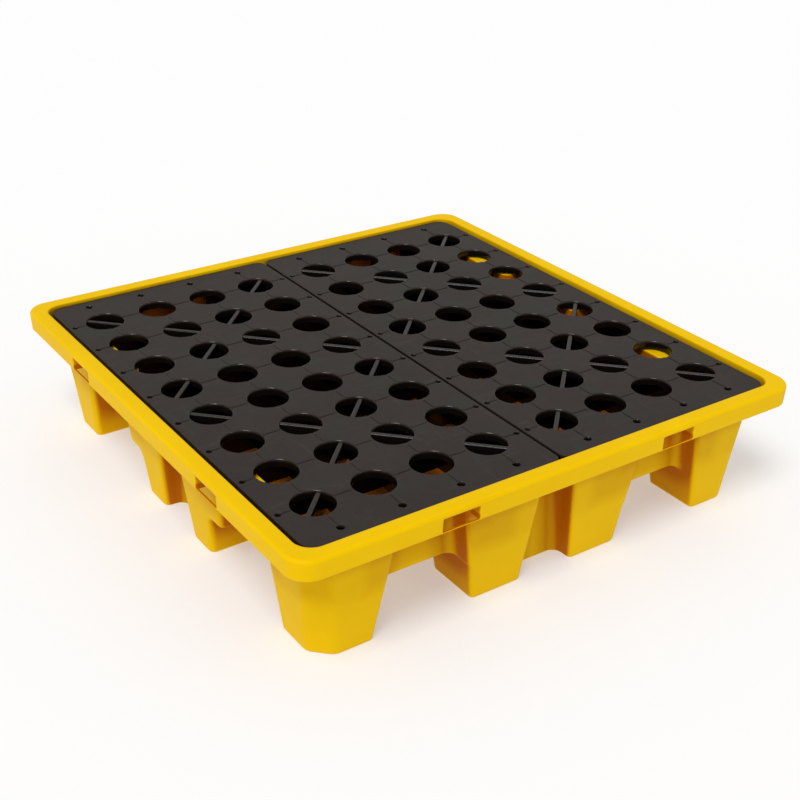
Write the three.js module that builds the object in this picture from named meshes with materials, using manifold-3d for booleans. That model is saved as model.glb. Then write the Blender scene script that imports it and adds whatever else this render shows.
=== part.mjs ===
// Spill containment pallet: a one-piece moulded sump with nine hollow feet and a hollow rim,
// covered by two lift-out grates. Millimetres, +Z up, floor at Z = 0, plan centre at X = Y = 0.
// The seam between the grates runs along Y, and fork pockets open on all four sides.

import * as THREE from 'three';
import Module from 'manifold-3d';

const wasm = await Module();
wasm.setup();

// ---------------------------------------------------------------- driving dimensions

const LENGTH_X = 1290;
const LENGTH_Y = 1316;
const HEIGHT = 293;
const WALL = 6;
const CLEARANCE = 0.3;

// Rim: a hollow flange, open downwards, with a flat top and a rounded outer edge.
const RIM_WIDTH = 37;
const RIM_CORNER = 52;
const RIM_INNER_CORNER = 40;
const RIM_ROUNDING = 8;
const ROUNDING_STEPS = 3;
const SKIRT_BOTTOM = 247;
const SKIRT_LEAN = 2;
const LEDGE_TOP = 262;

// Slots in the rim skirt, two on each side.
const SLOT_LENGTH = 86;
const SLOT_BOTTOM = 250;
const SLOT_TOP = 279;
const SLOT_OFFSET_X = 284;
const SLOT_OFFSET_Y = 309;

// Tank: its floor is the ceiling of the fork pockets.
const FORK_HEIGHT = 100;
const OUTER_DRAFT = 0.1;
const SIDE_DRAFT = 0.12;
const RECESS_DRAFT = 0.05;
const RECESS_DEPTH = 47;
const RECESS_X = { from: 200, to: 429 };
const RECESS_Y = { from: 206, to: 450 };

// Feet, given by their footprint on the floor.
const FOOT_OUT_X = 565;
const FOOT_OUT_Y = 587;
const CORNER_FOOT_SIZE = 135;
const CHAMFER = 42;
const MIDDLE_FOOT_HALF_X = 199;
const MIDDLE_FOOT_HALF_Y = 156;
const MIDDLE_FOOT_DEPTH = 132;
const NOTCH_HALF = 67;
const FOOT_CORNER = 18;
const STUB = 2;

// Posts moulded up from the tank floor, under the seam between the grates.
const POST_HALF = 45;
const POST_OFFSET_Y = 305;
const POST_DRAFT = 0.08;

// Grates.
const HOLE_PITCH_X = 137.5;
const HOLE_PITCH_Y = 138.3;
const HOLE_RADIUS = 44.8;
const HOLE_SEGMENTS = 16;
const COLUMNS = 4;
const ROWS = 8;
const DECK_TOP = 286.5;
const DECK_THICKNESS = 7;
const RIB_BOTTOM = 217;
const RIB_THICKNESS = 5;
const COLLAR_DEPTH = 18;
const BAR_THICKNESS = 11;
const BAR_DROP = 3.5;
const GRATE_INNER_X = 3;
const GRATE_OUTER_X = 597;
const GRATE_HALF_Y = 618;
const GRATE_CORNER = 34;
const GRATE_SEAM_CORNER = 22;
const EDGE_THICKNESS = 6;
const GRATE_CENTRE_X = 300.4;

const HALF_X = LENGTH_X / 2;
const HALF_Y = LENGTH_Y / 2;
const RIM_INNER_X = HALF_X - RIM_WIDTH;
const RIM_INNER_Y = HALF_Y - RIM_WIDTH;
const SIGNS = [-1, 1];

// Corners of an outline, counter-clockwise from low X, low Y.
const CORNER_SIGNS = [[-1, -1], [1, -1], [1, 1], [-1, 1]];

// ---------------------------------------------------------------- outlines and solids

// Rectangle from low to high. Each corner has a size and a number of steps: one step makes a
// chamfer, more steps make a round.
function rectangle(low, high, size = 0, steps = 3) {
  const sizes = Array.isArray(size) ? size : [size, size, size, size];
  const counts = Array.isArray(steps) ? steps : [steps, steps, steps, steps];
  const corners = [[low[0], low[1], 1, 1], [high[0], low[1], -1, 1],
    [high[0], high[1], -1, -1], [low[0], high[1], 1, -1]];
  const points = [];
  corners.forEach(([x, y, inX, inY], i) => {
    if (sizes[i] === 0) {
      points.push([x, y]);
      return;
    }
    for (let k = 0; k <= counts[i]; k += 1) {
      const angle = Math.PI * (1 + i / 2) + (Math.PI / 2) * (k / counts[i]);
      points.push([x + sizes[i] * (inX + Math.cos(angle)), y + sizes[i] * (inY + Math.sin(angle))]);
    }
  });
  return points;
}

function circle(x, y, radius, segments) {
  const points = [];
  for (let k = 0; k < segments; k += 1) {
    const angle = 2 * Math.PI * (k + 0.5) / segments;
    points.push([x + radius * Math.cos(angle), y + radius * Math.sin(angle)]);
  }
  return points;
}

// Closed solid through outlines at rising heights: levels are [z, outline] pairs whose outlines
// all have the same number of points.
function loft(levels) {
  const count = levels[0][1].length;
  const vertices = levels.flatMap(([z, outline]) => outline.flatMap(([x, y]) => [x, y, z]));
  const triangles = [];
  for (let level = 0; level < levels.length - 1; level += 1) {
    for (let k = 0; k < count; k += 1) {
      const a = level * count + k;
      const b = level * count + (k + 1) % count;
      triangles.push(a, b, b + count, a, b + count, a + count);
    }
  }
  const cap = (outline) => {
    const contour = outline.map(([x, y]) => new THREE.Vector2(x, y));
    return THREE.ShapeUtils.triangulateShape(contour, []);
  };
  const top = (levels.length - 1) * count;
  for (const [a, b, c] of cap(levels[0][1])) {
    triangles.push(a, c, b);
  }
  for (const [a, b, c] of cap(levels.at(-1)[1])) {
    triangles.push(top + a, top + b, top + c);
  }
  return new wasm.Manifold(new wasm.Mesh({
    numProp: 3,
    vertProperties: new Float32Array(vertices),
    triVerts: new Uint32Array(triangles),
  }));
}

function slab(outline, bottom, top) {
  return loft([[bottom, outline], [top, outline]]);
}

function box(low, high) {
  return slab(rectangle(low, high), low[2], high[2]);
}

function union(solids) {
  return solids.reduce((sum, solid) => sum.add(solid));
}

function subtractAll(solid, cutters) {
  return cutters.reduce((rest, cutter) => rest.subtract(cutter), solid);
}

function toMesh(name, solid, material) {
  const { vertProperties, triVerts } = solid.getMesh();
  const geometry = new THREE.BufferGeometry();
  geometry.setAttribute('position', new THREE.BufferAttribute(vertProperties, 3));
  geometry.setIndex(new THREE.BufferAttribute(triVerts, 1));
  geometry.computeVertexNormals();
  const mesh = new THREE.Mesh(geometry, material);
  mesh.name = name;
  return mesh;
}

// A tapered block: its footprint at Z = 0 grows by a draft on each side as it rises.
// inset shrinks it on all sides, for the inside of a wall. levels are [z, extra inset] pairs.
function taperedBlock({ low, high, draftLow, draftHigh, size, steps, levels, inset }) {
  const outlineAt = (z, shrink) => rectangle(
    [low[0] - draftLow[0] * z + shrink, low[1] - draftLow[1] * z + shrink],
    [high[0] + draftHigh[0] * z - shrink, high[1] + draftHigh[1] * z - shrink],
    size,
    steps,
  );
  return loft(levels.map(([z, extra]) => [z, outlineAt(z, inset + extra)]));
}

// ---------------------------------------------------------------- sump

// Low and high of a footprint mirrored by a sign, with the outer draft on its outward side.
function mirrored(sign, near, far) {
  return sign > 0
    ? { low: near, high: far, draftLow: SIDE_DRAFT, draftHigh: OUTER_DRAFT }
    : { low: -far, high: -near, draftLow: OUTER_DRAFT, draftHigh: SIDE_DRAFT };
}

function centred(half) {
  return { low: -half, high: half, draftLow: SIDE_DRAFT, draftHigh: SIDE_DRAFT };
}

// A foot stops flush with the tank at its top, and a narrower stub carries on into the tank.
function foot(x, y, size, steps, inset) {
  const levels = [[inset, 0], [FORK_HEIGHT + inset, 0], [FORK_HEIGHT + inset + STUB, STUB]];
  return taperedBlock({
    low: [x.low, y.low],
    high: [x.high, y.high],
    draftLow: [x.draftLow, y.draftLow],
    draftHigh: [x.draftHigh, y.draftHigh],
    size,
    steps,
    levels,
    inset,
  });
}

// The nine feet. inset is 0 outside and WALL inside.
function feet(inset) {
  const middleX = centred(MIDDLE_FOOT_HALF_X);
  const middleY = centred(MIDDLE_FOOT_HALF_Y);
  const solids = [foot(middleX, middleY, FOOT_CORNER, 3, inset)];
  for (const signX of SIGNS) {
    const outX = mirrored(signX, FOOT_OUT_X - MIDDLE_FOOT_DEPTH, FOOT_OUT_X);
    solids.push(foot(outX, middleY, FOOT_CORNER, 3, inset));
    for (const signY of SIGNS) {
      const cornerX = mirrored(signX, FOOT_OUT_X - CORNER_FOOT_SIZE, FOOT_OUT_X);
      const cornerY = mirrored(signY, FOOT_OUT_Y - CORNER_FOOT_SIZE, FOOT_OUT_Y);
      const isOuter = CORNER_SIGNS.map(([x, y]) => x === signX && y === signY);
      const sizes = isOuter.map((outer) => (outer ? CHAMFER : FOOT_CORNER));
      const steps = isOuter.map((outer) => (outer ? 1 : 3));
      solids.push(foot(cornerX, cornerY, sizes, steps, inset));
    }
  }
  for (const signY of SIGNS) {
    const outY = mirrored(signY, FOOT_OUT_Y - MIDDLE_FOOT_DEPTH, FOOT_OUT_Y);
    solids.push(foot(middleX, outY, FOOT_CORNER, 3, inset));
  }
  return solids;
}

// Where the tank wall stands in, at height z: the notches of the middle feet, which reach the
// floor, and the recesses above the fork pockets. outset grows them, for the inside of a wall.
function wallPocket(alongX, sign, near, far, outset, bottom, top) {
  const out = alongX ? FOOT_OUT_Y : FOOT_OUT_X;
  const outlineAt = (z) => {
    const from = near + SIDE_DRAFT * z - outset;
    const to = far - SIDE_DRAFT * z + outset;
    const depth = out - RECESS_DEPTH + RECESS_DRAFT * z - outset;
    const ends = [sign * depth, sign * (out + 100)];
    const reach = [Math.min(...ends), Math.max(...ends)];
    return alongX
      ? rectangle([from, reach[0]], [to, reach[1]])
      : rectangle([reach[0], from], [reach[1], to]);
  };
  return loft([[bottom, outlineAt(bottom)], [top, outlineAt(top)]]);
}

function wallPockets(outset, top) {
  const solids = [];
  for (const sign of SIGNS) {
    solids.push(wallPocket(true, sign, -NOTCH_HALF, NOTCH_HALF, outset, -1, top));
    solids.push(wallPocket(false, sign, -NOTCH_HALF, NOTCH_HALF, outset, -1, top));
    for (const side of SIGNS) {
      const spanX = side > 0 ? [RECESS_X.from, RECESS_X.to] : [-RECESS_X.to, -RECESS_X.from];
      const spanY = side > 0 ? [RECESS_Y.from, RECESS_Y.to] : [-RECESS_Y.to, -RECESS_Y.from];
      solids.push(wallPocket(true, sign, ...spanX, outset, 50, top));
      solids.push(wallPocket(false, sign, ...spanY, outset, 50, top));
    }
  }
  return solids;
}

function tankBlock(inset, bottom, top) {
  return taperedBlock({
    low: [-FOOT_OUT_X, -FOOT_OUT_Y],
    high: [FOOT_OUT_X, FOOT_OUT_Y],
    draftLow: [OUTER_DRAFT, OUTER_DRAFT],
    draftHigh: [OUTER_DRAFT, OUTER_DRAFT],
    size: CHAMFER,
    steps: 1,
    levels: [[bottom, 0], [top, 0]],
    inset,
  });
}

function rimOutline(inset, corner) {
  return rectangle([-HALF_X + inset, -HALF_Y + inset], [HALF_X - inset, HALF_Y - inset], corner, 6);
}

function rimFlange() {
  const levels = [[SKIRT_BOTTOM, rimOutline(SKIRT_LEAN, RIM_CORNER - SKIRT_LEAN)]];
  for (let k = 0; k <= ROUNDING_STEPS; k += 1) {
    const angle = (Math.PI / 2) * (k / ROUNDING_STEPS);
    const inset = RIM_ROUNDING * (1 - Math.cos(angle));
    const z = HEIGHT - RIM_ROUNDING * (1 - Math.sin(angle));
    levels.push([z, rimOutline(inset, RIM_CORNER - inset)]);
  }
  const hollow = loft([
    [SKIRT_BOTTOM - 1, rimOutline(SKIRT_LEAN + WALL, RIM_CORNER - SKIRT_LEAN - WALL)],
    [HEIGHT - RIM_ROUNDING, rimOutline(WALL, RIM_CORNER - WALL)],
    [HEIGHT - WALL, rimOutline(RIM_WIDTH - WALL * 2, RIM_CORNER - RIM_WIDTH + WALL * 2)],
  ]);
  return loft(levels).subtract(hollow);
}

function rimSlots() {
  const solids = [];
  const half = SLOT_LENGTH / 2;
  for (const side of SIGNS) {
    for (const end of SIGNS) {
      const x = side * SLOT_OFFSET_X;
      const y = side * SLOT_OFFSET_Y;
      const reachY = end > 0 ? [HALF_Y - 14, HALF_Y + 1] : [-HALF_Y - 1, -HALF_Y + 14];
      const reachX = end > 0 ? [HALF_X - 14, HALF_X + 1] : [-HALF_X - 1, -HALF_X + 14];
      solids.push(box([x - half, reachY[0], SLOT_BOTTOM], [x + half, reachY[1], SLOT_TOP]));
      solids.push(box([reachX[0], y - half, SLOT_BOTTOM], [reachX[1], y + half, SLOT_TOP]));
    }
  }
  return solids;
}

function posts(inset, bottom) {
  return SIGNS.map((sign) => {
    const outlineAt = (z) => {
      const half = POST_HALF + POST_DRAFT * (RIB_BOTTOM - z) - inset;
      const y = sign * POST_OFFSET_Y;
      return rectangle([-half, y - half], [half, y + half], FOOT_CORNER);
    };
    const top = RIB_BOTTOM - CLEARANCE - inset;
    return loft([[bottom, outlineAt(bottom)], [top, outlineAt(top)]]);
  });
}

function sump() {
  const innerRim = [[-RIM_INNER_X, -RIM_INNER_Y], [RIM_INNER_X, RIM_INNER_Y]];
  const outerRim = [innerRim[0].map((v) => v - WALL), innerRim[1].map((v) => v + WALL)];
  const ledgeBlock = slab(
    rectangle(...outerRim, RIM_INNER_CORNER + WALL, 6),
    LEDGE_TOP - WALL,
    HEIGHT - WALL / 2,
  );
  const tankOutside = subtractAll(
    union([tankBlock(0, FORK_HEIGHT, LEDGE_TOP - WALL / 2), ...feet(0)]),
    wallPockets(0, LEDGE_TOP - WALL),
  );
  const tankInside = subtractAll(
    union([tankBlock(WALL, FORK_HEIGHT + WALL, LEDGE_TOP + 1), ...feet(WALL)]),
    wallPockets(WALL, LEDGE_TOP + 2),
  );
  const pit = slab(rectangle(...innerRim, RIM_INNER_CORNER, 6), LEDGE_TOP, HEIGHT + 1);
  const shell = union([rimFlange(), ledgeBlock, tankOutside]).subtract(tankInside).subtract(pit);
  const supports = union(posts(0, FORK_HEIGHT + WALL / 2));
  return subtractAll(shell.add(supports), [...posts(WALL, FORK_HEIGHT - 1), ...rimSlots()]);
}

// ---------------------------------------------------------------- grates

// Upright wall between two plan points.
function rib(from, to, thickness, bottom, top) {
  const direction = new THREE.Vector2(to[0] - from[0], to[1] - from[1]).normalize();
  const side = [-direction.y * thickness / 2, direction.x * thickness / 2];
  return slab([
    [from[0] - side[0], from[1] - side[1]],
    [to[0] - side[0], to[1] - side[1]],
    [to[0] + side[0], to[1] + side[1]],
    [from[0] + side[0], from[1] + side[1]],
  ], bottom, top);
}

function holeCentre(column, row) {
  return [
    GRATE_CENTRE_X + (column - (COLUMNS - 1) / 2) * HOLE_PITCH_X,
    (row - (ROWS - 1) / 2) * HOLE_PITCH_Y,
  ];
}

// Diagonal bars cross each block of four by four holes from corner to corner.
// The result is 1 or -1 for the slope of a bar, or 0 where a hole is open.
function barSlope(column, row) {
  const blockRow = row % COLUMNS;
  if (blockRow === column) {
    return 1;
  }
  return blockRow === COLUMNS - 1 - column ? -1 : 0;
}

// The grate on the +X side of the seam.
function grate() {
  const corners = [GRATE_SEAM_CORNER, GRATE_CORNER, GRATE_CORNER, GRATE_SEAM_CORNER];
  const low = [GRATE_INNER_X, -GRATE_HALF_Y];
  const high = [GRATE_OUTER_X, GRATE_HALF_Y];
  const outline = (inset) => rectangle(
    low.map((v) => v + inset),
    high.map((v) => v - inset),
    corners.map((r) => r - inset),
    4,
  );
  const deckBottom = DECK_TOP - DECK_THICKNESS;
  const deck = slab(outline(0), deckBottom, DECK_TOP);
  const edge = slab(outline(0), LEDGE_TOP + CLEARANCE, DECK_TOP - 1)
    .subtract(slab(outline(EDGE_THICKNESS), LEDGE_TOP - 1, DECK_TOP));

  const lattice = [];
  const join = DECK_TOP - DECK_THICKNESS / 2;
  const endX = [GRATE_INNER_X + 1, GRATE_OUTER_X - 1];
  const endY = GRATE_HALF_Y - EDGE_THICKNESS + 2;
  for (let i = 0; i <= COLUMNS; i += 1) {
    const x = GRATE_CENTRE_X + (i - COLUMNS / 2) * HOLE_PITCH_X;
    lattice.push(rib([x, -endY], [x, endY], RIB_THICKNESS, RIB_BOTTOM, join));
  }
  for (let j = 0; j <= ROWS; j += 1) {
    const y = (j - ROWS / 2) * HOLE_PITCH_Y;
    lattice.push(rib([endX[0], y], [endX[1], y], RIB_THICKNESS, RIB_BOTTOM, join));
  }
  const seamX = GRATE_INNER_X + RIB_THICKNESS / 2;
  const seamWall = rib([seamX, -endY], [seamX, endY], RIB_THICKNESS, RIB_BOTTOM, join);

  const holes = [];
  const collars = [];
  const bars = [];
  for (let column = 0; column < COLUMNS; column += 1) {
    for (let row = 0; row < ROWS; row += 1) {
      const [x, y] = holeCentre(column, row);
      const inside = circle(x, y, HOLE_RADIUS, HOLE_SEGMENTS);
      const outside = circle(x, y, HOLE_RADIUS + RIB_THICKNESS, HOLE_SEGMENTS);
      holes.push(slab(inside, RIB_BOTTOM - 1, DECK_TOP + 1));
      collars.push(slab(outside, DECK_TOP - COLLAR_DEPTH, join));
      const slope = barSlope(column, row);
      if (slope !== 0) {
        const reachX = HOLE_PITCH_X / 2;
        const reachY = slope * HOLE_PITCH_Y / 2;
        bars.push(rib([x - reachX, y - reachY], [x + reachX, y + reachY],
          BAR_THICKNESS, RIB_BOTTOM, DECK_TOP - BAR_DROP));
      }
    }
  }
  const body = subtractAll(union([deck, edge, ...lattice, seamWall, ...collars]), holes);
  const withBars = union([body, ...bars]);

  // The deep ribs stay clear of the ledge and the tank wall below it.
  const margin = 4;
  const deepRoom = subtractAll(
    tankBlock(WALL + margin, RIB_BOTTOM - 1, LEDGE_TOP + CLEARANCE),
    wallPockets(WALL + margin, LEDGE_TOP + 2),
  );
  const aboveLedge = slab(outline(0), LEDGE_TOP + CLEARANCE, DECK_TOP + 1);
  return withBars.intersect(deepRoom.add(aboveLedge));
}

function mirrorX(solid) {
  const { vertProperties, triVerts } = solid.getMesh();
  const vertices = vertProperties.map((value, i) => (i % 3 === 0 ? -value : value));
  const triangles = new Uint32Array(triVerts.length);
  for (let i = 0; i < triVerts.length; i += 3) {
    triangles[i] = triVerts[i];
    triangles[i + 1] = triVerts[i + 2];
    triangles[i + 2] = triVerts[i + 1];
  }
  return new wasm.Manifold(new wasm.Mesh({
    numProp: 3,
    vertProperties: vertices,
    triVerts: triangles,
  }));
}

// ---------------------------------------------------------------- assembly

const yellowPlastic = new THREE.MeshStandardMaterial({ color: 0xf2b705, roughness: 0.45, metalness: 0 });
const blackPlastic = new THREE.MeshStandardMaterial({ color: 0x2e2b2a, roughness: 0.6, metalness: 0 });

const rightGrate = grate();

const pallet = new THREE.Group();
pallet.add(toMesh('sump', sump(), yellowPlastic));
pallet.add(toMesh('grate_right', rightGrate, blackPlastic));
pallet.add(toMesh('grate_left', mirrorX(rightGrate), blackPlastic));

export default pallet;
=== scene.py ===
"""Spill containment pallet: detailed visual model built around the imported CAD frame."""

import math

import bmesh
import bpy
import numpy as np
from mathutils import Matrix, Vector


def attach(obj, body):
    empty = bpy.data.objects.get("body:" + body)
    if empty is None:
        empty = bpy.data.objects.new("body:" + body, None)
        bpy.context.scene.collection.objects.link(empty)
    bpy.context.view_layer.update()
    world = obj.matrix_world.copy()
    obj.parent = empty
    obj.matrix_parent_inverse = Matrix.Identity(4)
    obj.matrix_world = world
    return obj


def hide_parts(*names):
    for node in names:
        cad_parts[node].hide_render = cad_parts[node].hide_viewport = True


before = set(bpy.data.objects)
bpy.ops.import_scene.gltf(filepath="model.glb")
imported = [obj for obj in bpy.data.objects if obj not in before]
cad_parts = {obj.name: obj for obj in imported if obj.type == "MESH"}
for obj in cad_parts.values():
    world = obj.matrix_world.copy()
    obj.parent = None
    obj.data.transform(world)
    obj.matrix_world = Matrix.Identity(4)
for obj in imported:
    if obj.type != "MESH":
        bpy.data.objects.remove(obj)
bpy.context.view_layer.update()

MM = 0.001

# Main dimensions, in millimetres. The floor is at z = 0 and the plan centre at x = y = 0.
# The sump is the same in all four quarters of the plan, so its places are given for +X and +Y.
HALF_X = 645.0
HALF_Y = 658.0
HEIGHT = 293.0
WALL = 6.0

# The rolled rim, and the ledge inside it that carries the grates.
RIM_CORNER = 52.0
RIM_INNER_CORNER = 40.0
RIM_WIDTH = 37.0
RIM_ROUNDING = 8.0
RIM_LEAN = 2.0
SKIRT_BOTTOM = 247.0
SKIRT_TIP_ROUNDING = 1.5
LEDGE_TOP = 262.0

# Slots through the rim's skirt, with a web inside the rim at both ends of each.
SLOT_HALF = 43.0
SLOT_BOTTOM = 250.0
SLOT_TOP = 279.0
SLOT_X = 284.0
SLOT_Y = 309.0
SLOT_CORNER = 2.0
SLOT_CUT = 14.0
SLOT_LIP = 0.8
WEB_THICKNESS = 5.0
WEB_DEPTH = 31.0
WEB_RISE = 4.0
WEB_FILLET = 1.0
WEB_BAND = 60.0

# The feet's outer faces, and the fork channels between the feet, each from side to side.
FORK_HEIGHT = 100.0
FOOT_OUT_X = 565.0
FOOT_OUT_Y = 587.0
OUTER_DRAFT = 0.1
SIDE_DRAFT = 0.12
CHAMFER = 42.0
CHAMFER_ROUNDING = 8.0
FOOT_ROUNDING = 4.0
CHANNEL_X = (198.0, 429.0)
CHANNEL_Y = (155.0, 450.0)
CHANNEL_CORNER = 20.0
CHANNEL_ROUNDING = 12.0

# Recesses of the tank wall above the channels, and notches between the halves of the middle feet.
RECESS_X = (196.0, 434.0)
RECESS_Y = (206.0, 450.0)
RECESS_DEPTH = 47.0
RECESS_DRAFT = 0.05
RECESS_SIDE_DRAFT = 0.165
RECESS_LIP = 12.0
RECESS_CORNER = 27.0
NOTCH_HALF = 67.0
NOTCH_CORNER = 24.0
UPRIGHT_ROUNDING_X = 15.0
UPRIGHT_ROUNDING_Y = 11.0

# Posts under the seam between the grates.
POST_HALF = 45.0
POST_Y = 305.0
POST_DRAFT = 0.08
POST_TOP = 216.7
POST_CORNER = 18.0
POST_ROUNDING = 8.0
POST_INNER_ROUNDING = 6.0
POST_OPENING_ROUNDING = 3.0

# The grates. Places are those of the right one, which lies on the +X side of the seam.
COLUMNS = 4
ROWS = 8
HOLE_PITCH_X = 137.5
HOLE_PITCH_Y = 138.3
HOLE_RADIUS = 44.8
HOLE_LIP = 3.2
GRATE_CENTRE_X = 300.4
GRATE_INNER_X = 3.0
GRATE_OUTER_X = 597.0
GRATE_HALF_Y = 618.0
GRATE_CORNER = 34.0
GRATE_SEAM_CORNER = 22.0
GRATE_EDGE = 6.0
GRATE_EDGE_BOTTOM = 262.3
DECK_TOP = 286.5
DECK_THICKNESS = 7.0
DECK_MIDDLE = DECK_TOP - DECK_THICKNESS / 2.0
DECK_ROUNDING = 2.0

RIB_BOTTOM = 217.0
RIB_THICKNESS = 5.0
RIB_TAPER = 2.0
RIB_END_X = 577.0
RIB_END_Y = 598.0
COLLAR_DEPTH = 18.0
COLLAR_WALL = 4.0
COLLAR_TAPER = 1.0

# Diagonal bars. The profile gives depths below the top and how much narrower the bar is there.
BAR_THICKNESS = 11.0
BAR_TAPER = 3.0
BAR_DROP = 3.5
BAR_REACH = 0.488
BAR_PROFILE = ((2.6, 0.0), (1.3, 0.9), (0.35, 2.8), (0.0, 5.0))

# Grooves in the deck, and the small drain holes that they run out to.
GROOVE_DEPTH = 2.4
GROOVE_HALF_TOP = 3.0
GROOVE_HALF_BOTTOM = 0.8
GROOVE_X = (13.0, 583.0)
GROOVE_END_Y = 582.0
FLARE_RADII = (1.6, 7.0)
END_DRAIN_RADIUS = 8.0
END_DRAIN_LIP = 1.2
SIDE_DRAIN_RADIUS = 6.0
SIDE_DRAIN_LIP = 1.0
SIDE_DRAIN_X = (15.0, 582.5)

# Room that the deep parts leave for the tank's walls where they stand in, below the ledge.
BEYOND = 700.0
STAND_IN_X = FOOT_OUT_X - RECESS_DEPTH + 1.0
STAND_IN_Y = FOOT_OUT_Y - RECESS_DEPTH + 1.0
NOTCH_ROOM = 51.0
RECESS_ROOM_X = (202.0, 427.0)
RECESS_ROOM_Y = (216.0, 434.0)
CORNER_ROOM = 442.0

# ------------------------------------------------------------------ camera, floor, lights

CAMERA_PLACE = Vector((-1.5751, -2.2898, 1.6260))
CAMERA_AZIMUTH = math.radians(34.99)
CAMERA_DOWN = math.radians(28.09)
CAMERA_ROLL = math.radians(1.09)
CAMERA_LENS = 59.21
SENSOR_WIDTH = 36.0
NEAR_CLIP = 0.05
FAR_CLIP = 100.0

SUN_SIDE = Vector((-0.42, -0.28, 0.86))
SUN_STRENGTH = 1.68
SUN_ANGLE = math.radians(24.0)
STUDIO_STRENGTH = 0.55

FLOOR_HALF = 30.0
FLOOR_GREY = (0.62, 0.62, 0.62, 1.0)
FLOOR_GLOW = 0.36
WHITE = (1.0, 1.0, 1.0, 1.0)


def make_camera():
    """Camera that looks down at the front corner, with a slight roll."""
    a, e = CAMERA_AZIMUTH, CAMERA_DOWN
    forward = Vector((math.sin(a) * math.cos(e), math.cos(a) * math.cos(e), -math.sin(e)))
    level = Vector((math.cos(a), -math.sin(a), 0.0))
    lifted = level.cross(forward)
    c, s = math.cos(CAMERA_ROLL), math.sin(CAMERA_ROLL)
    right = level * c + lifted * s
    up = lifted * c - level * s
    data = bpy.data.cameras.new("camera")
    data.lens = CAMERA_LENS
    data.sensor_width = SENSOR_WIDTH
    data.clip_start = NEAR_CLIP
    data.clip_end = FAR_CLIP
    camera = bpy.data.objects.new("camera", data)
    bpy.context.collection.objects.link(camera)
    turn = Matrix((right, up, -forward)).transposed()
    camera.matrix_world = Matrix.Translation(CAMERA_PLACE) @ turn.to_4x4()
    bpy.context.scene.camera = camera


def make_sun():
    """Wide soft light from above, to the left of the camera."""
    data = bpy.data.lights.new("sun", "SUN")
    data.energy = SUN_STRENGTH
    data.angle = SUN_ANGLE
    light = bpy.data.objects.new("sun", data)
    bpy.context.collection.objects.link(light)
    light.rotation_mode = "QUATERNION"
    light.rotation_quaternion = (-SUN_SIDE).to_track_quat("-Z", "Y")


def make_world():
    """Even white studio light from all round."""
    world = bpy.data.worlds.new("studio")
    world.use_nodes = True
    background = world.node_tree.nodes["Background"]
    background.inputs["Color"].default_value = WHITE
    background.inputs["Strength"].default_value = STUDIO_STRENGTH
    bpy.context.scene.world = world


def make_floor():
    """Pale floor that glows a little, so that it stays nearly white under the pallet."""
    mesh = bpy.data.meshes.new("floor")
    half = FLOOR_HALF
    corners = [(-half, -half, 0.0), (half, -half, 0.0), (half, half, 0.0), (-half, half, 0.0)]
    mesh.from_pydata(corners, [], [(0, 1, 2, 3)])
    floor = bpy.data.objects.new("floor", mesh)
    bpy.context.collection.objects.link(floor)
    material = bpy.data.materials.new("floor")
    material.use_nodes = True
    shader = material.node_tree.nodes["Principled BSDF"]
    shader.inputs["Base Color"].default_value = FLOOR_GREY
    shader.inputs["Roughness"].default_value = 0.9
    shader.inputs["Specular IOR Level"].default_value = 0.1
    shader.inputs["Emission Color"].default_value = WHITE
    shader.inputs["Emission Strength"].default_value = FLOOR_GLOW
    mesh.materials.append(material)


# ------------------------------------------------------------------ materials

YELLOW_DEEP = (0.86, 0.530, 0.0)
YELLOW_PALE = (0.90, 0.570, 0.0)
YELLOW_BLOTCH = (0.82, 0.455, 0.0)
YELLOW_SCUFF = (0.93, 0.66, 0.02)
# Deep orange for the painted shade in the hollows.
YELLOW_PAINTED_SHADE = (0.50, 0.145, 0.0)

BLACK_DEEP = (0.0155, 0.0095, 0.0068)
BLACK_PALE = (0.0225, 0.0145, 0.0098)
BLACK_SPECK = (0.030, 0.021, 0.017)
BLACK_PATCH = (0.017, 0.019, 0.010)
BLACK_MARK = (0.072, 0.062, 0.054)
# Unworn black, darkened further as painted shade for the walls of the holes.
BLACK_UNWORN_SHADED = (0.006, 0.0045, 0.0035)

# Heights between which the black plastic turns from unworn and darkened with painted shade in the
# holes to worn, and from glossy to rubbed.
SHADED_TO_WORN_Z = ((DECK_TOP - 6.5) * MM, (DECK_TOP - 4.1) * MM)
RUBBED_Z = ((DECK_TOP - 0.7) * MM, (DECK_TOP - 0.1) * MM)
RUBBED_ROUGHNESS = 0.34

# Most values of a noise texture lie between these two.
NOISE_LOW = 0.3
NOISE_HIGH = 0.7


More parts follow.
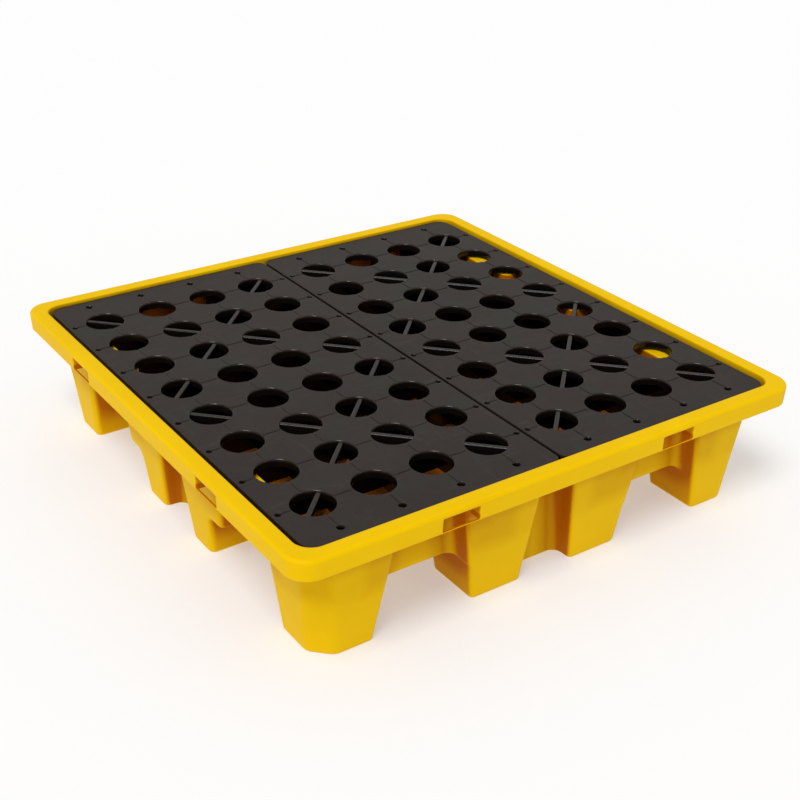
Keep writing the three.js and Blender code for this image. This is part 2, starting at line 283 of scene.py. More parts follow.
class Nodes:
    """Adds nodes to a new material and links them."""

    def __init__(self, name):
        self.material = bpy.data.materials.new(name)
        self.material.use_nodes = True
        self.tree = self.material.node_tree
        self.shader = self.tree.nodes["Principled BSDF"]
        self.place = self.new("ShaderNodeTexCoord").outputs["Object"]

    def new(self, kind):
        return self.tree.nodes.new(kind)

    def link(self, source, target):
        self.tree.links.new(source, target)

    def feed(self, value, socket):
        """Sets a socket to a number or a colour, or links another node's output to it."""
        if isinstance(value, float):
            socket.default_value = value
        elif isinstance(value, tuple):
            socket.default_value = (*value, 1.0)
        else:
            self.link(value, socket)

    def noise(self, scale, detail=3.0, roughness=0.5, stretch=None, turn=None):
        """Noise texture. A stretch and a turn make it run in streaks."""
        node = self.new("ShaderNodeTexNoise")
        node.inputs["Scale"].default_value = scale
        node.inputs["Detail"].default_value = detail
        node.inputs["Roughness"].default_value = roughness
        place = self.place
        if stretch is not None:
            mapping = self.new("ShaderNodeMapping")
            mapping.inputs["Scale"].default_value = stretch
            mapping.inputs["Rotation"].default_value = turn
            self.link(place, mapping.inputs["Vector"])
            place = mapping.outputs["Vector"]
        self.link(place, node.inputs["Vector"])
        return node.outputs["Fac"]

    def ramp(self, noise, low, high):
        """Colour that follows a noise from low to high."""
        node = self.new("ShaderNodeValToRGB")
        stops = ((NOISE_LOW, low), (NOISE_HIGH, high))
        for element, (position, colour) in zip(node.color_ramp.elements, stops):
            element.position = position
            element.color = (*colour, 1.0)
        self.link(noise, node.inputs["Fac"])
        return node.outputs["Color"]

    def grey(self, value, low, high, from_low=NOISE_LOW, from_high=NOISE_HIGH):
        """Number from low to high as the value goes from from_low to from_high."""
        node = self.new("ShaderNodeMapRange")
        node.inputs["From Min"].default_value = from_low
        node.inputs["From Max"].default_value = from_high
        node.inputs["To Min"].default_value = low
        node.inputs["To Max"].default_value = high
        self.link(value, node.inputs["Value"])
        return node.outputs["Result"]

    def mix(self, factor, a, b):
        """Colour between a and b."""
        node = self.new("ShaderNodeMix")
        node.data_type = "RGBA"
        sockets = {s.identifier: s for s in node.inputs}
        self.feed(factor, sockets["Factor_Float"])
        self.feed(a, sockets["A_Color"])
        self.feed(b, sockets["B_Color"])
        return next(s for s in node.outputs if s.identifier == "Result_Color")

    def maths(self, operation, a, b):
        """Result of an operation on two numbers."""
        node = self.new("ShaderNodeMath")
        node.operation = operation
        self.feed(a, node.inputs[0])
        self.feed(b, node.inputs[1])
        return node.outputs["Value"]

    def bump(self, height, strength, distance, below=None):
        """Bump from a height, on top of the bump below it."""
        node = self.new("ShaderNodeBump")
        node.inputs["Strength"].default_value = strength
        node.inputs["Distance"].default_value = distance
        self.link(height, node.inputs["Height"])
        if below is not None:
            self.link(below, node.inputs["Normal"])
        return node.outputs["Normal"]

    def finish(self, colour, roughness, normal):
        self.link(colour, self.shader.inputs["Base Color"])
        self.link(roughness, self.shader.inputs["Roughness"])
        self.link(normal, self.shader.inputs["Normal"])
        return self.material


def yellow_plastic():
    """Satin yellow plastic, cloudy and faintly scuffed, with painted shade in deep orange in its
    hollows.
    """
    n = Nodes("yellow_plastic")
    clouds = n.noise(3.0)
    blotches = n.noise(22.0, 4.0, 0.6)
    scuffs = n.noise(26.0, 5.0, 0.7, stretch=(1.0, 0.25, 3.0), turn=(0.3, 0.2, 0.6))
    colour = n.ramp(clouds, YELLOW_DEEP, YELLOW_PALE)
    colour = n.mix(n.grey(blotches, 0.0, 0.22), colour, YELLOW_BLOTCH)
    colour = n.mix(n.grey(scuffs, 0.0, 0.25, 0.62, 0.78), colour, YELLOW_SCUFF)
    # Painted shade: a point attribute turns the hollows deep orange, in place of shade and bounced
    # light.
    shade_attribute = n.new("ShaderNodeAttribute")
    shade_attribute.attribute_name = "painted_shade"
    deep = n.grey(shade_attribute.outputs["Fac"], 0.0, 1.0, 0.05, 0.5)
    colour = n.mix(deep, colour, YELLOW_PAINTED_SHADE)
    dull = n.grey(scuffs, 0.0, 0.12, 0.6, 0.8)
    roughness = n.maths("ADD", n.grey(blotches, 0.42, 0.5), dull)
    peel = n.bump(n.noise(420.0, 2.0), 0.08, 0.0006)
    waves = n.bump(n.noise(16.0, 2.0), 0.10, 0.0025, peel)
    n.shader.inputs["Specular IOR Level"].default_value = 0.04
    return n.finish(colour, roughness, waves)


def black_plastic():
    """Black plastic: unworn, glossy and darkened with painted shade in the holes, rubbed matt and
    scratched on the deck.
    """
    n = Nodes("black_plastic")
    clouds = n.noise(5.0, 4.0, 0.6)
    specks = n.noise(60.0, 5.0, 0.7)
    patches = n.noise(13.0, 3.0, 0.6)
    marks_a = n.noise(30.0, 6.0, 0.75, stretch=(0.35, 2.6, 1.0), turn=(0.0, 0.0, 0.5))
    marks_b = n.noise(34.0, 6.0, 0.75, stretch=(2.4, 0.3, 1.0), turn=(0.0, 0.0, 0.9))
    scratched_a = n.grey(marks_a, 0.0, 0.45, 0.57, 0.76)
    scratched_b = n.grey(marks_b, 0.0, 0.4, 0.59, 0.78)
    colour = n.ramp(clouds, BLACK_DEEP, BLACK_PALE)
    colour = n.mix(n.grey(specks, 0.0, 0.6, 0.45, 0.7), colour, BLACK_SPECK)
    colour = n.mix(n.grey(patches, 0.0, 0.6, 0.5, 0.66), colour, BLACK_PATCH)
    colour = n.mix(n.maths("ADD", scratched_a, scratched_b), colour, BLACK_MARK)
    place = n.new("ShaderNodeSeparateXYZ")
    n.link(n.place, place.inputs["Vector"])
    height = place.outputs["Z"]
    # Painted shade: below the deck top the holes' walls go nearly black, partly unworn plastic and
    # partly shade.
    colour = n.mix(n.grey(height, 0.0, 1.0, *SHADED_TO_WORN_Z), BLACK_UNWORN_SHADED, colour)
    rubbed = n.maths("MULTIPLY", n.grey(height, 0.0, 1.0, *RUBBED_Z), RUBBED_ROUGHNESS)
    dull = n.grey(marks_a, 0.0, 0.12, 0.6, 0.8)
    roughness = n.maths("ADD", n.grey(specks, 0.12, 0.2), dull)
    roughness = n.maths("ADD", roughness, rubbed)
    grain = n.bump(n.noise(520.0, 3.0, 0.6), 0.16, 0.0006)
    waves = n.bump(n.noise(28.0), 0.10, 0.002, grain)
    n.shader.inputs["Specular IOR Level"].default_value = 0.30
    return n.finish(colour, roughness, waves)


# ------------------------------------------------------------------ the sump as a distance field
#
# A field is the distance to a surface in millimetres, negative inside the solid. Every function
# takes the absolute x and y, because the sump is the same in all four quarters.


def round_union(a, b, r):
    """Either solid, with a fillet where they meet."""
    u = np.maximum(r - a, 0.0)
    v = np.maximum(r - b, 0.0)
    return np.maximum(r, np.minimum(a, b)) - np.hypot(u, v)


def round_both(a, b, r):
    """What two solids share, with the edge between their surfaces rounded."""
    u = np.maximum(r + a, 0.0)
    v = np.maximum(r + b, 0.0)
    return np.minimum(-r, np.maximum(a, b)) + np.hypot(u, v)


def round_cut(a, b, r):
    """The first solid without the second, with a rounded edge."""
    return round_both(a, -b, r)


def rounded_rectangle(x, y, half_x, half_y, r):
    dx = x - half_x + r
    dy = y - half_y + r
    outside = np.hypot(np.maximum(dx, 0.0), np.maximum(dy, 0.0))
    return outside + np.minimum(np.maximum(dx, dy), 0.0) - r


def segment(u, v, start, end):
    """Distance in a section to the straight line from start to end."""
    du, dv = end[0] - start[0], end[1] - start[1]
    t = ((u - start[0]) * du + (v - start[1]) * dv) / (du * du + dv * dv)
    t = np.clip(t, 0.0, 1.0)
    return np.hypot(u - start[0] - t * du, v - start[1] - t * dv)


def between(u, low, high, draft):
    """The slot from low to high, whose sides close in by the draft."""
    return np.maximum(low + draft - u, u - high + draft)


def tank_solid(x, y, z):
    """Outside of the moulding below the rim, as if it were solid: block, channels, recesses."""
    side_x = x - (FOOT_OUT_X + OUTER_DRAFT * z)
    side_y = y - (FOOT_OUT_Y + OUTER_DRAFT * z)
    corner = (side_x + side_y + CHAMFER) / math.sqrt(2.0)
    plan = round_both(np.maximum(side_x, side_y), corner, CHAMFER_ROUNDING)

    shift = SIDE_DRAFT * np.minimum(z, FORK_HEIGHT)
    channel_y = between(x, *CHANNEL_X, shift)
    channel_x = between(y, *CHANNEL_Y, shift)
    channels = round_union(channel_x, channel_y, CHANNEL_CORNER)
    channels = round_both(channels, z - FORK_HEIGHT, CHANNEL_ROUNDING)

    beyond_y = FOOT_OUT_Y - RECESS_DEPTH + RECESS_DRAFT * z - y
    beyond_x = FOOT_OUT_X - RECESS_DEPTH + RECESS_DRAFT * z - x
    recess_y = between(x, *RECESS_X, RECESS_SIDE_DRAFT * z)
    recess_x = between(y, *RECESS_Y, SIDE_DRAFT * z)
    lip_y = round_union(z - FORK_HEIGHT, beyond_y, RECESS_LIP)
    lip_x = round_union(z - FORK_HEIGHT, beyond_x, RECESS_LIP)
    recess_y = round_both(recess_y, lip_y, RECESS_CORNER)
    recess_x = round_both(recess_x, lip_x, RECESS_CORNER)
    notch_y = round_both(x - NOTCH_HALF + SIDE_DRAFT * z, beyond_y, NOTCH_CORNER)
    notch_x = round_both(y - NOTCH_HALF + SIDE_DRAFT * z, beyond_x, NOTCH_CORNER)
    pockets = np.minimum(np.minimum(recess_y, recess_x), np.minimum(notch_y, notch_x))
    pockets = np.maximum(pockets, z - (LEDGE_TOP - WALL))

    soft = np.where(side_x > side_y, UPRIGHT_ROUNDING_X, UPRIGHT_ROUNDING_Y)
    upright = round_cut(plan, np.minimum(channels, pockets), soft)
    return round_both(upright, -z, FOOT_ROUNDING)


def post_solid(x, y, z):
    half = POST_HALF + POST_DRAFT * (RIB_BOTTOM - z)
    return rounded_rectangle(x, np.abs(y - POST_Y), half, half, POST_CORNER)


def rim_shell(plan, inner, z):
    """Skirt, rolled edge, top and inner wall of the rim, one wall thick."""
    half_wall = WALL / 2.0
    roll_z = HEIGHT - RIM_ROUNDING
    skirt = segment(plan, z, (-RIM_LEAN - half_wall, SKIRT_BOTTOM - WALL), (-half_wall, roll_z))
    roll = np.abs(np.hypot(plan + RIM_ROUNDING, z - roll_z) - RIM_ROUNDING + half_wall)
    in_roll = (plan > -RIM_ROUNDING) & (z > roll_z)
    roll = np.where(in_roll, roll, np.inf)
    inside = segment(inner, z, (half_wall, LEDGE_TOP - half_wall), (half_wall, HEIGHT - half_wall))
    cap = np.maximum(np.maximum(plan + RIM_ROUNDING, half_wall - inner), 0.0)
    cap = np.hypot(cap, z - HEIGHT + half_wall)
    shell = np.minimum(np.minimum(skirt, roll), np.minimum(inside, cap)) - half_wall
    return round_both(shell, SKIRT_BOTTOM - z, SKIRT_TIP_ROUNDING)


def rim_field(x, y, z, tank):
    """Rolled rim with its skirt, the slots with their side webs, and the ledge inside."""
    plan = rounded_rectangle(x, y, HALF_X, HALF_Y, RIM_CORNER)
    inner = rounded_rectangle(x, y, HALF_X - RIM_WIDTH, HALF_Y - RIM_WIDTH, RIM_INNER_CORNER)
    shell = rim_shell(plan, inner, z)

    web_z = np.maximum(SKIRT_BOTTOM - z, z - HEIGHT + RIM_ROUNDING - WEB_RISE)
    in_hollow = np.maximum(plan + RIM_LEAN, -(plan + WEB_DEPTH))
    slot_z = np.abs(z - (SLOT_BOTTOM + SLOT_TOP) / 2.0) - (SLOT_TOP - SLOT_BOTTOM) / 2.0
    sides = ((x, y, SLOT_X, HALF_Y), (y, x, SLOT_Y, HALF_X))
    for along, across, centre, out in sides:
        from_slot = np.abs(along - centre) - SLOT_HALF
        web = np.abs(from_slot - WEB_THICKNESS / 2.0) - WEB_THICKNESS / 2.0
        web = np.maximum(np.maximum(web, in_hollow), web_z)
        web = np.maximum(web, out - WEB_BAND - across)
        shell = round_union(shell, web, WEB_FILLET)
    for along, across, centre, out in sides:
        from_slot = np.abs(along - centre) - SLOT_HALF
        slot = round_both(from_slot, slot_z, SLOT_CORNER)
        slot = np.maximum(slot, out - SLOT_CUT - across)
        shell = round_cut(shell, slot, SLOT_LIP)

    half_wall = WALL / 2.0
    ledge = np.maximum(np.abs(z - LEDGE_TOP + half_wall) - half_wall, inner - half_wall)
    ledge = np.maximum(ledge, -(tank + WALL))
    return np.minimum(shell, ledge)


def sump_field(x, y, z):
    tank = tank_solid(x, y, z)
    post = post_solid(x, y, z)
    post_outside = round_both(post, z - POST_TOP, POST_ROUNDING)
    post_inside = round_both(post + WALL, z - POST_TOP + WALL, POST_INNER_ROUNDING)
    wet = round_cut(tank + WALL, post_outside, POST_ROUNDING)
    shell = np.maximum(np.maximum(tank, -wet), z - LEDGE_TOP)
    shell = round_cut(shell, post_inside, POST_OPENING_ROUNDING)
    return np.minimum(shell, rim_field(x, y, z, tank))


# ------------------------------------------------------------------ the sump's mesh

# Grid lines past the outside of the sump.
GRID_MARGIN = 3.0
GRID_BOTTOM = -4.0
SMOOTHING_PASSES = 2

# Painted shade: distances out from the wall at which the hollows are felt, and the share that each
# has in it.
PAINTED_SHADE_REACHES = ((14.0, 0.2), (35.0, 0.3), (80.0, 0.35), (170.0, 0.5))
TANK_PAINTED_SHADE = 0.5
RIM_PAINTED_SHADE_SHARE = 0.3


def grid_lines(start, spans):
    """Ascending grid lines from start. Each span is its end and the largest step inside it."""
    lines = [start]
    for end, step in spans:
        count = max(1, math.ceil((end - lines[-1]) / step - 1e-6))
        lines.extend(np.linspace(lines[-1], end, count + 1)[1:])
    return np.array(lines)


def surface_net(xs, ys, zs, field):
    """Quads of the zero surface of a field on a grid, one vertex in each cell it crosses."""
    inside = field < 0.0
    corners = [(a, b, c) for a in (0, 1) for b in (0, 1) for c in (0, 1)]
    nx, ny, nz = (n - 1 for n in field.shape)
    count = np.zeros((nx, ny, nz), np.int8)
    for a, b, c in corners:
        count += inside[a:a + nx, b:b + ny, c:c + nz]
    cells = np.argwhere((count > 0) & (count < len(corners)))
    index = np.full((nx, ny, nz), -1, np.int64)
    i, j, k = cells.T
    index[i, j, k] = np.arange(len(cells))

    # Each vertex is the mean of the points where the cell's edges cross the surface.
    total = np.zeros((len(cells), 3))
    weight = np.zeros(len(cells))
    for first in corners:
        for axis in range(3):
            if first[axis]:
                continue
            second = list(first)
            second[axis] = 1
            a = field[i + first[0], j + first[1], k + first[2]]
            b = field[i + second[0], j + second[1], k + second[2]]
            crossing = (a < 0.0) != (b < 0.0)
            t = np.where(crossing, a / np.where(crossing, a - b, 1.0), 0.0)
            start = np.stack([xs[i + first[0]], ys[j + first[1]], zs[k + first[2]]], 1)
            end = np.stack([xs[i + second[0]], ys[j + second[1]], zs[k + second[2]]], 1)
            total += np.where(crossing[:, None], start + t[:, None] * (end - start), 0.0)
            weight += crossing
    vertices = total / weight[:, None]

    # Each grid edge that crosses the surface gives a quad of the four cells round it.
    faces = []
    for axis in range(3):
        low = [slice(None)] * 3
        high = [slice(None)] * 3
        low[axis] = slice(0, -1)
        high[axis] = slice(1, None)
        starts, ends = inside[tuple(low)], inside[tuple(high)]
        edges = np.argwhere(starts != ends)
        outward = starts[tuple(edges.T)]
        u, v = [(1, 2), (2, 0), (0, 1)][axis]
        ring = []
        for du, dv in ((-1, -1), (0, -1), (0, 0), (-1, 0)):
            cell = edges.copy()
            cell[:, u] += du
            cell[:, v] += dv
            ring.append(index[tuple(cell.T)])
        quads = np.stack(ring, 1)
        quads[~outward] = quads[~outward][:, ::-1]
        faces.append(quads)
    return vertices, np.concatenate(faces)


def smoothed(vertices, faces):
    """Taubin smoothing: rounds the edges a little and keeps the volume."""
    pairs = np.concatenate([faces[:, [k, (k + 1) % 4]] for k in range(4)])
    pairs = np.concatenate([pairs, pairs[:, ::-1]])
    degree = np.bincount(pairs[:, 0], minlength=len(vertices))
    shrink, grow = 0.5, -0.52
    for step in (shrink, grow) * SMOOTHING_PASSES:
        mean = np.stack([
            np.bincount(pairs[:, 0], vertices[pairs[:, 1], c], len(vertices)) / degree
            for c in range(3)
        ], 1)
        vertices = vertices + step * (mean - vertices)
    return vertices


def painted_shade(vertices, normals):
    """Painted shade for each point, from 0 to 1: how far it lies in the hollows, where light
    colours itself on the walls.
    """
    shade_amount = np.zeros(len(vertices))
    for reach, share in PAINTED_SHADE_REACHES:
        x, y, z = (vertices + reach * normals).T
        shade_amount += share * np.clip(1.0 - sump_field(np.abs(x), np.abs(y), z) / reach, 0.0, 1.0)
    shade_amount = np.minimum(shade_amount, 1.0)
    x, y, z = np.abs(vertices[:, 0]), np.abs(vertices[:, 1]), vertices[:, 2]
    # The painted shade never falls below a floor value inside the tank, and up on the rim it is
    # only a share.
    in_tank = (tank_solid(x, y, z) < -WALL / 2.0) & (z < LEDGE_TOP)
    shade_amount = np.where(in_tank, np.maximum(shade_amount, TANK_PAINTED_SHADE), shade_amount)
    return np.where(z > LEDGE_TOP - 2.0, RIM_PAINTED_SHADE_SHARE * shade_amount, shade_amount)


def sump_mesh():
    """Surface of the sump. The grid is finer where the surface turns, such as at the slot ends."""
    slot_x = (SLOT_X - SLOT_HALF, SLOT_X + SLOT_HALF)
    slot_y = (SLOT_Y - SLOT_HALF, SLOT_Y + SLOT_HALF)
    half_x = grid_lines(0.0, [
        (3.5, 3.5), (20.0, 9.0), (84.0, 3.4), (184.0, 12.0), (slot_x[0] - 5.0, 3.2),
        (slot_x[0] + 5.0, 2.0), (270.0, 3.4), (slot_x[1] - 5.0, 9.0), (slot_x[1] + 5.0, 2.0),
        (360.0, 7.0), (448.0, 3.2), (500.0, 10.0), (HALF_X + GRID_MARGIN, 3.0),
    ])
    half_y = grid_lines(0.0, [
        (3.5, 3.5), (20.0, 9.0), (84.0, 3.4), (140.0, 11.0), (184.0, 3.2), (204.0, 5.0),
        (slot_y[0] - 8.0, 3.0), (slot_y[0] + 5.0, 2.0), (slot_y[1] - 8.0, 9.0),
        (slot_y[1] + 5.0, 2.0), (366.0, 3.0), (380.0, 7.0), (472.0, 3.2), (520.0, 10.0),
        (HALF_Y + GRID_MARGIN, 3.0),
    ])
    # Across the corner feet's chamfers the wall is thin for the grid, so z steps stay under 5.
    zs = grid_lines(GRID_BOTTOM, [
        (20.0, 3.2), (84.0, 4.5), (132.0, 3.2), (200.0, 4.5), (222.0, 3.2), (243.0, 4.2),
        (255.0, 1.6), (264.0, 2.4), (274.0, 4.0), (HEIGHT + GRID_MARGIN, 2.0),
    ])
    x, y, z = np.meshgrid(half_x, half_y, zs, indexing="ij")
    quarter = sump_field(x, y, z)
    half = np.concatenate([quarter[:0:-1], quarter], 0)
    field = np.concatenate([half[:, :0:-1], half], 1)
    xs = np.concatenate([-half_x[:0:-1], half_x])
    ys = np.concatenate([-half_y[:0:-1], half_y])
    vertices, faces = surface_net(xs, ys, zs, field)
    vertices = smoothed(vertices, faces)
    mesh = bpy.data.meshes.new("sump_shell")
    mesh.from_pydata(vertices * MM, [], faces)
    mesh.shade_smooth()
    normals = np.zeros(len(vertices) * 3, np.float32)
    mesh.vertices.foreach_get("normal", normals)
    # Painted shade in the hollows, kept on the points for the yellow material.
    depth = mesh.attributes.new("painted_shade", "FLOAT", "POINT")
    depth.data.foreach_set("value", painted_shade(vertices, normals.reshape(-1, 3)).astype(np.float32))
    return mesh


# ------------------------------------------------------------------ solids for the grates

ARC_STEPS = 6
HOLE_STEPS = 56
LIP_ANGLES = (0.0, 0.4, 0.8, 1.2)
END_DRAIN_STEPS = 24
SIDE_DRAIN_STEPS = 20
FLARE_STEPS = 14
SMOOTH_ANGLE = math.radians(32.0)
LEVEL_NORMAL = 0.9995


def outline(low, high, corners):
    """Rounded rectangle, counter-clockwise. corners gives the radius at each corner in turn."""
    signs = ((1, 1), (-1, 1), (-1, -1), (1, -1))
    points = []
    for n, ((sx, sy), r) in enumerate(zip(signs, corners)):
        cx = (low[0] if sx > 0 else high[0]) + sx * r
        cy = (low[1] if sy > 0 else high[1]) + sy * r
        for k in range(ARC_STEPS + 1):
            angle = math.pi * (1.0 + n / 2.0) + math.pi / 2.0 * k / ARC_STEPS
            points.append((cx + r * math.cos(angle), cy + r * math.sin(angle)))
    return points


def strip(start, end, width):
    """Plan outline of a straight strip."""
    dx, dy = end[0] - start[0], end[1] - start[1]
    length = math.hypot(dx, dy)
    sx, sy = -dy / length * width / 2.0, dx / length * width / 2.0
    return [(start[0] - sx, start[1] - sy), (end[0] - sx, end[1] - sy),
            (end[0] + sx, end[1] + sy), (start[0] + sx, start[1] + sy)]


class Solid:
    """Closed solids gathered into one mesh, in millimetres."""

    def __init__(self):
        self.vertices = []
        self.faces = []

    def loft(self, levels):
        """Solid through outlines of equal length, each with its height, from the lowest up."""
        base = len(self.vertices)
        count = len(levels[0][1])
        for z, points in levels:
            self.vertices.extend((px, py, z) for px, py in points)
        for level in range(len(levels) - 1):
            start = base + level * count
            for k in range(count):
                nxt = (k + 1) % count
                self.faces.append((start + k, start + nxt, start + count + nxt, start + count + k))
        self.faces.append(tuple(base + k for k in reversed(range(count))))
        top = base + (len(levels) - 1) * count
        self.faces.append(tuple(top + k for k in range(count)))

    def box(self, low, high):
        points = [(low[0], low[1]), (high[0], low[1]), (high[0], high[1]), (low[0], high[1])]
        self.loft([(low[2], points), (high[2], points)])

    def turned(self, x, y, levels, steps):
        """Round solid on an upright axis. levels gives its heights and radii."""
        turns = [2.0 * math.pi * (k + 0.5) / steps for k in range(steps)]
        self.loft([
            (z, [(x + r * math.cos(t), y + r * math.sin(t)) for t in turns]) for z, r in levels
        ])

    def object(self, name):
        mesh = bpy.data.meshes.new(name)
        mesh.from_pydata([tuple(c * MM for c in v) for v in self.vertices], [], self.faces)
        made = bpy.data.objects.new(name, mesh)
        bpy.context.collection.objects.link(made)
        return made


def combine(target, other, operation):
    """Boolean of two objects. The second is used up."""
    modifier = target.modifiers.new("combine", "BOOLEAN")
    modifier.operation = operation
    modifier.solver = "MANIFOLD"
    modifier.object = other
    evaluated = target.evaluated_get(bpy.context.evaluated_depsgraph_get())
    mesh = bpy.data.meshes.new_from_object(evaluated)
    target.modifiers.remove(modifier)
    old = target.data
    target.data = mesh
    bpy.data.meshes.remove(old)
    spent = other.data
    bpy.data.objects.remove(other)
    bpy.data.meshes.remove(spent)


def sharpen_flat_top(mesh):
    """Marks the border of the level faces as sharp, so that they shade as flat."""
    work = bmesh.new()
    work.from_mesh(mesh)
    for edge in work.edges:
        level = [face.normal.z > LEVEL_NORMAL for face in edge.link_faces]
        if any(level) and not all(level):
            edge.smooth = False
    work.to_mesh(mesh)
    work.free()


# ------------------------------------------------------------------ the grates
#
# What is cut away reaches a little past the surfaces that it cuts.


def column_x(column):
    return GRATE_CENTRE_X + (column - (COLUMNS - 1) / 2.0) * HOLE_PITCH_X


def row_y(row):
    return (row - (ROWS - 1) / 2.0) * HOLE_PITCH_Y


def holes():
    """Column, row and centre of each hole."""
    for column in range(COLUMNS):
        for row in range(ROWS):
            yield column, row, column_x(column), row_y(row)


def bar_slope(column, row):
    """Bars cross each block of four by four holes from corner to corner."""
    block_row = row % COLUMNS
    if block_row == column:
        return 1
    return -1 if block_row == COLUMNS - 1 - column else 0


def grate_outline(inset):
    corners = [GRATE_SEAM_CORNER, GRATE_CORNER, GRATE_CORNER, GRATE_SEAM_CORNER]
    return outline(
        (GRATE_INNER_X + inset, -GRATE_HALF_Y + inset),
        (GRATE_OUTER_X - inset, GRATE_HALF_Y - inset),
        [r - inset for r in corners],
    )


def grate_deck(name):
    """Deck plate with a softened top edge."""
    deck = Solid()
    deck.loft([
        (DECK_TOP - DECK_THICKNESS, grate_outline(0.0)),
        (DECK_TOP - DECK_ROUNDING, grate_outline(0.0)),
        (DECK_TOP - DECK_ROUNDING * 0.3, grate_outline(DECK_ROUNDING * 0.3)),
        (DECK_TOP, grate_outline(DECK_ROUNDING)),
    ])
    return deck.object(name)


def grate_edge():
    """Wall round the grate that stands on the ledge."""
    edge = Solid()
    edge.loft([(GRATE_EDGE_BOTTOM, grate_outline(0.0)), (DECK_TOP - 3.0, grate_outline(0.0))])
    edge = edge.object("edge")
    room = Solid()
    inside = grate_outline(GRATE_EDGE)
    room.loft([(GRATE_EDGE_BOTTOM - 1.0, inside), (DECK_TOP, inside)])
    combine(edge, room.object("room"), "DIFFERENCE")
    return edge


def rib(solid, start, end, taper):
    solid.loft([
        (RIB_BOTTOM, strip(start, end, RIB_THICKNESS - taper)),
        (DECK_MIDDLE, strip(start, end, RIB_THICKNESS)),
    ])


def grate_ribs():
    """Deep ribs between the rows and the columns of holes, and one along the seam."""
    along_y = Solid()
    for i in range(COLUMNS + 1):
        x = column_x(i - 0.5)
        rib(along_y, (x, -RIB_END_Y), (x, RIB_END_Y), RIB_TAPER)
    seam_x = GRATE_INNER_X + RIB_THICKNESS / 2.0
    rib(along_y, (seam_x, -RIB_END_Y), (seam_x, RIB_END_Y), 0.0)
    ribs = along_y.object("ribs")
    along_x = Solid()
    for j in range(ROWS + 1):
        y = row_y(j - 0.5)
        rib(along_x, (GRATE_INNER_X + 1.0, y), (RIB_END_X, y), RIB_TAPER)
    combine(ribs, along_x.object("along_x"), "UNION")
    return ribs


def grate_collars():
    """Short collars that stiffen the holes from below."""
    collars = Solid()
    outer = HOLE_RADIUS + COLLAR_WALL
    levels = [(DECK_TOP - COLLAR_DEPTH, outer - COLLAR_TAPER), (DECK_MIDDLE, outer)]
    for _, _, x, y in holes():
        collars.turned(x, y, levels, HOLE_STEPS)
    return collars.object("collars")


def grate_holes():
    """What the round holes take away, with their rounded lips."""
    cut = Solid()
    low = DECK_TOP - HOLE_LIP
    wide = HOLE_RADIUS + HOLE_LIP
    lip = [(low + HOLE_LIP * math.sin(t), wide - HOLE_LIP * math.cos(t)) for t in LIP_ANGLES]
    levels = [(RIB_BOTTOM - 1.0, HOLE_RADIUS), *lip, (DECK_TOP + 0.8, wide + 1.0)]
    for _, _, x, y in holes():
        cut.turned(x, y, levels, HOLE_STEPS)
    return cut.object("holes")


def grate_bars(slope):
    """Bars with round tops across the holes of one slope."""
    bars = Solid()
    top = DECK_TOP - BAR_DROP
    for column, row, x, y in holes():
        if bar_slope(column, row) != slope:
            continue
        dx = BAR_REACH * HOLE_PITCH_X
        dy = slope * BAR_REACH * HOLE_PITCH_Y
        start, end = (x - dx, y - dy), (x + dx, y + dy)
        levels = [(RIB_BOTTOM, strip(start, end, BAR_THICKNESS - BAR_TAPER))]
        for depth, narrowing in BAR_PROFILE:
            levels.append((top - depth, strip(start, end, BAR_THICKNESS - narrowing)))
        bars.loft(levels)
    return bars.object("bars")


def grate_room():
    """What the deep parts leave free for the tank's notches, recesses and chamfered corners."""
    room = Solid()
    low, high = RIB_BOTTOM - 2.0, GRATE_EDGE_BOTTOM
    for sign in (-1, 1):
        near, far = sorted((sign * STAND_IN_Y, sign * BEYOND))
        room.box((-NOTCH_ROOM, near, low), (NOTCH_ROOM, far, high))
        room.box((RECESS_ROOM_X[0], near, low), (RECESS_ROOM_X[1], far, high))
        near, far = sorted((sign * RECESS_ROOM_Y[0], sign * RECESS_ROOM_Y[1]))
        room.box((STAND_IN_X, near, low), (BEYOND, far, high))
        corner = [(BEYOND, CORNER_ROOM), (BEYOND, BEYOND), (CORNER_ROOM, BEYOND)]
        if sign < 0:
            corner = [(px, -py) for px, py in reversed(corner)]
        room.loft([(low, corner), (high, corner)])
    room.box((STAND_IN_X, -NOTCH_ROOM, low), (BEYOND, NOTCH_ROOM, high))
    return room.object("room")


def grate_grooves(lines):
    """Fine grooves on the given lines, each a start and an end."""
    grooves = Solid()
    for start, end in lines:
        grooves.loft([
            (DECK_TOP - GROOVE_DEPTH, strip(start, end, 2.0 * GROOVE_HALF_BOTTOM)),
            (DECK_TOP + 0.3, strip(start, end, 2.0 * GROOVE_HALF_TOP)),
        ])
    return grooves.object("grooves")


def grate_flares():
    """Where the grooves widen as they reach a hole."""
    flares = Solid()
    reach = HOLE_RADIUS + 2.0
    levels = [(DECK_TOP - GROOVE_DEPTH, FLARE_RADII[0]), (DECK_TOP + 0.3, FLARE_RADII[1])]
    for _, _, x, y in holes():
        for dx, dy in ((1, 0), (0, 1), (-1, 0), (0, -1)):
            flares.turned(x + dx * reach, y + dy * reach, levels, FLARE_STEPS)
    return flares.object("flares")


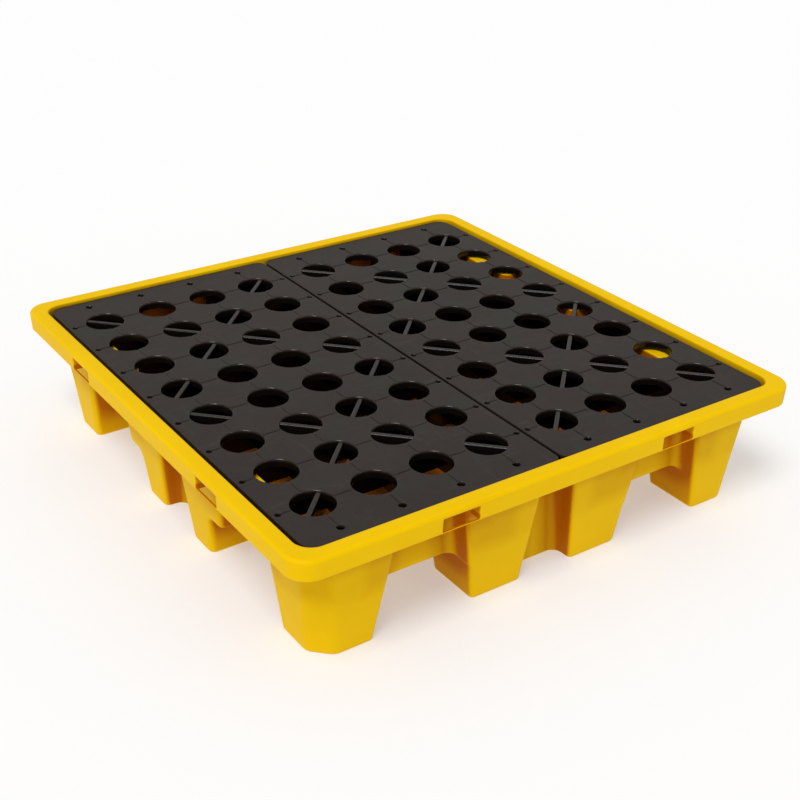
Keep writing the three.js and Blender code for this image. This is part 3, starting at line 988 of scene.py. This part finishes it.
def grate_drains():
    """Small holes at the ends of the grooves."""
    drains = Solid()
    bottom = DECK_TOP - DECK_THICKNESS - 1.0

    def drain(x, y, radius, lip, steps):
        flared = (DECK_TOP + 0.5, radius + lip + 0.4)
        drains.turned(x, y, [(bottom, radius), (DECK_TOP - lip, radius + 0.2), flared], steps)

    for column in range(COLUMNS):
        for y in (-GROOVE_END_Y, GROOVE_END_Y):
            drain(column_x(column), y, END_DRAIN_RADIUS, END_DRAIN_LIP, END_DRAIN_STEPS)
    for row in range(ROWS):
        for x in SIDE_DRAIN_X:
            drain(x, row_y(row), SIDE_DRAIN_RADIUS, SIDE_DRAIN_LIP, SIDE_DRAIN_STEPS)
    return drains.object("drains")


def grate_object(name):
    """The grate on the +X side of the seam."""
    body = grate_deck(name)
    combine(body, grate_edge(), "UNION")
    ribs = grate_ribs()
    combine(ribs, grate_collars(), "UNION")
    combine(body, ribs, "UNION")
    combine(body, grate_holes(), "DIFFERENCE")
    combine(body, grate_bars(1), "UNION")
    combine(body, grate_bars(-1), "UNION")
    combine(body, grate_room(), "DIFFERENCE")
    along_x = [((GROOVE_X[0], row_y(j)), (GROOVE_X[1], row_y(j))) for j in range(ROWS)]
    along_y = [((column_x(i), -GROOVE_END_Y), (column_x(i), GROOVE_END_Y)) for i in range(COLUMNS)]
    combine(body, grate_grooves(along_x), "DIFFERENCE")
    combine(body, grate_grooves(along_y), "DIFFERENCE")
    combine(body, grate_flares(), "DIFFERENCE")
    combine(body, grate_drains(), "DIFFERENCE")
    body.data.shade_smooth()
    body.data.set_sharp_from_angle(angle=SMOOTH_ANGLE)
    sharpen_flat_top(body.data)
    return body


def mirrored_copy(source, name):
    """Copy of an object, mirrored to the other side of the seam."""
    mesh = source.data.copy()
    mesh.name = name
    mesh.transform(Matrix.Scale(-1.0, 4, (1.0, 0.0, 0.0)))
    mesh.flip_normals()
    made = bpy.data.objects.new(name, mesh)
    bpy.context.collection.objects.link(made)
    return made


# ------------------------------------------------------------------ assembly

make_camera()
make_world()
make_floor()
make_sun()

yellow = yellow_plastic()
black = black_plastic()

sump = bpy.data.objects.new("sump_shell", sump_mesh())
bpy.context.collection.objects.link(sump)
sump.data.materials.append(yellow)
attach(sump, "sump_body")
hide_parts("sump")

right = grate_object("grate_plate_right")
left = mirrored_copy(right, "grate_plate_left")
for piece, side in ((right, "right"), (left, "left")):
    piece.data.materials.clear()
    piece.data.materials.append(black)
    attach(piece, f"grate_{side}_body")
    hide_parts(f"grate_{side}")

bpy.context.scene.view_settings.view_transform = "Standard"
